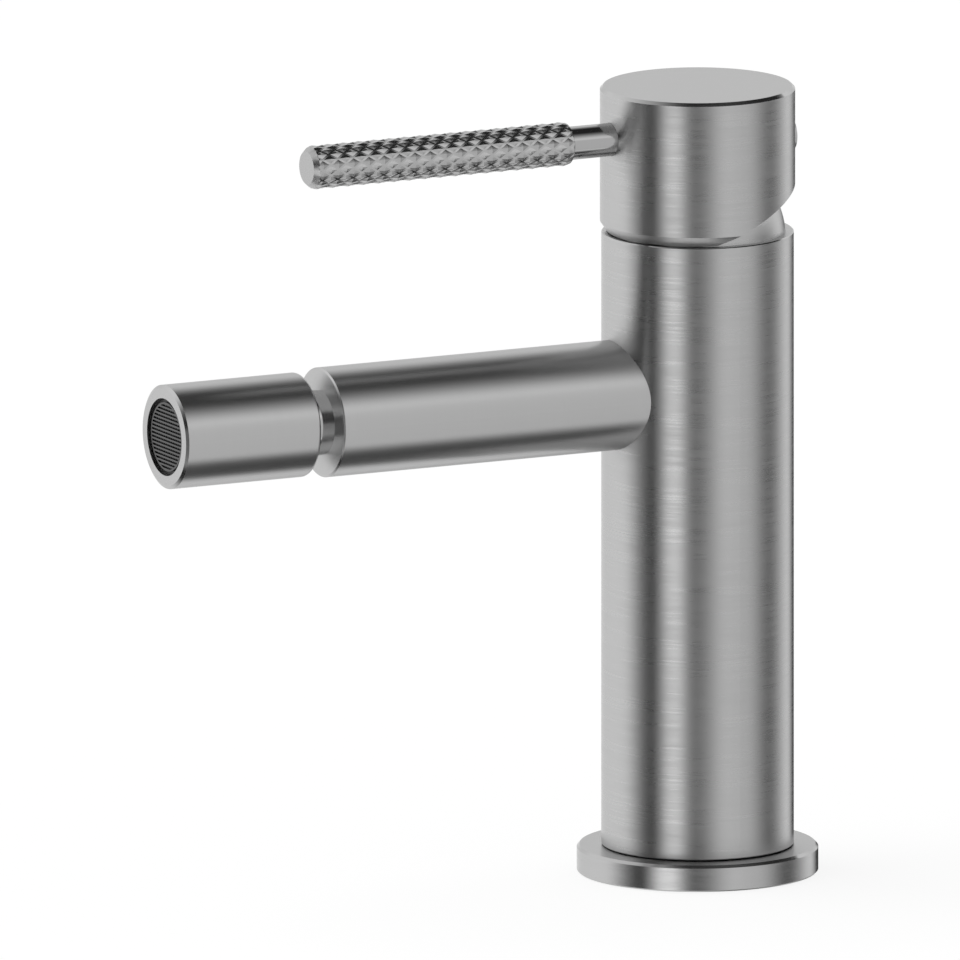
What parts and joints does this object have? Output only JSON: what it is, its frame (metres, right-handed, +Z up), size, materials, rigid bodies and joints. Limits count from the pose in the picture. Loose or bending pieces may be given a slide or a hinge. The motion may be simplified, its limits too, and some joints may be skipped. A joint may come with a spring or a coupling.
{
  "type": "bidet mixer",
  "caption": "Deck-mounted single-lever bidet mixer: a round column on a foot flange, with a horizontal spout, a ball-jointed swivel nozzle and a knurled lever.",
  "frame": {"origin": "centre of the underside of the foot, at deck level", "axes": "+Z up along the column, -Y forward along the spout and the closed lever, +X to the cold side"},
  "size_m": [0.0528, 0.156, 0.1741],
  "materials": {
    "brushed_gunmetal": "circular brushed",
    "polished_gunmetal": "polished",
    "bright_steel": "bright",
    "plain_brass": "turned",
    "copper_pipe": "drawn",
    "black_rubber": "matt",
    "white_plastic": "moulded",
    "grey_plastic": "moulded",
    "black_plastic": "moulded",
    "ceramic": "lapped ceramic"
  },
  "bodies": {
    "fixed": {"base_flange": "brushed_gunmetal", "base_gasket": "black_rubber", "inlet_block": "plain_brass", "body_shell": "brushed_gunmetal", "hot_pipe": "copper_pipe", "cold_pipe": "copper_pipe", "seat_block": "plain_brass", "spout_nipple": "plain_brass", "spout_seal": "black_rubber", "spout_tube": "brushed_gunmetal", "swivel_stem": "polished_gunmetal", "port_seals": "black_rubber", "cartridge_base": "white_plastic", "disc_seals": "black_rubber", "fixed_disc": "ceramic", "cartridge_housing": "grey_plastic", "clamp_nut": "plain_brass", "bonnet": "brushed_gunmetal"},
    "rotor": {"cartridge_rotor": "white_plastic", "pivot_pin": "bright_steel"},
    "disc": {"moving_disc": "ceramic", "disc_carrier": "grey_plastic"},
    "handle": {"cartridge_stem": "plain_brass", "handle_cap": "brushed_gunmetal", "set_screw": "bright_steel", "index_plug": "brushed_gunmetal", "lever_rod": "polished_gunmetal", "lever_grip": "brushed_gunmetal"},
    "seal": {"ball_seal": "black_rubber"},
    "nozzle": {"nozzle_sleeve": "brushed_gunmetal", "ball_seat": "white_plastic", "seat_retainer": "plain_brass", "aerator_washer": "black_rubber", "aerator_housing": "black_plastic", "aerator_mesh": "bright_steel"}
  },
  "joints": [
    {"name": "temperature_turn", "type": "hinge", "parent": "fixed", "child": "rotor", "pos_m": [0, 0, 0.1402], "axis": [0, 0, 1], "range_deg": [-50, 50]},
    {"name": "lever_lift", "type": "hinge", "parent": "rotor", "child": "handle", "pos_m": [0, 0, 0.1402], "axis": [-1, 0, 0], "range_deg": [0, 23]},
    {"name": "disc_slide", "type": "slide", "parent": "rotor", "child": "disc", "axis": [0, -1, 0], "range_m": [0, 0.00366]},
    {"name": "nozzle_turn", "type": "hinge", "parent": "fixed", "child": "seal", "pos_m": [0, -0.1039, 0.1071], "axis": [0, -1, 0], "continuous": true},
    {"name": "nozzle_tilt", "type": "hinge", "parent": "seal", "child": "nozzle", "pos_m": [0, -0.1039, 0.1071], "axis": [1, 0, 0], "range_deg": [-15, 15]}
  ],
  "couplings": [
    {"joint": "disc_slide", "follows": "lever_lift", "m_per_rad": 0.0091}
  ]
}
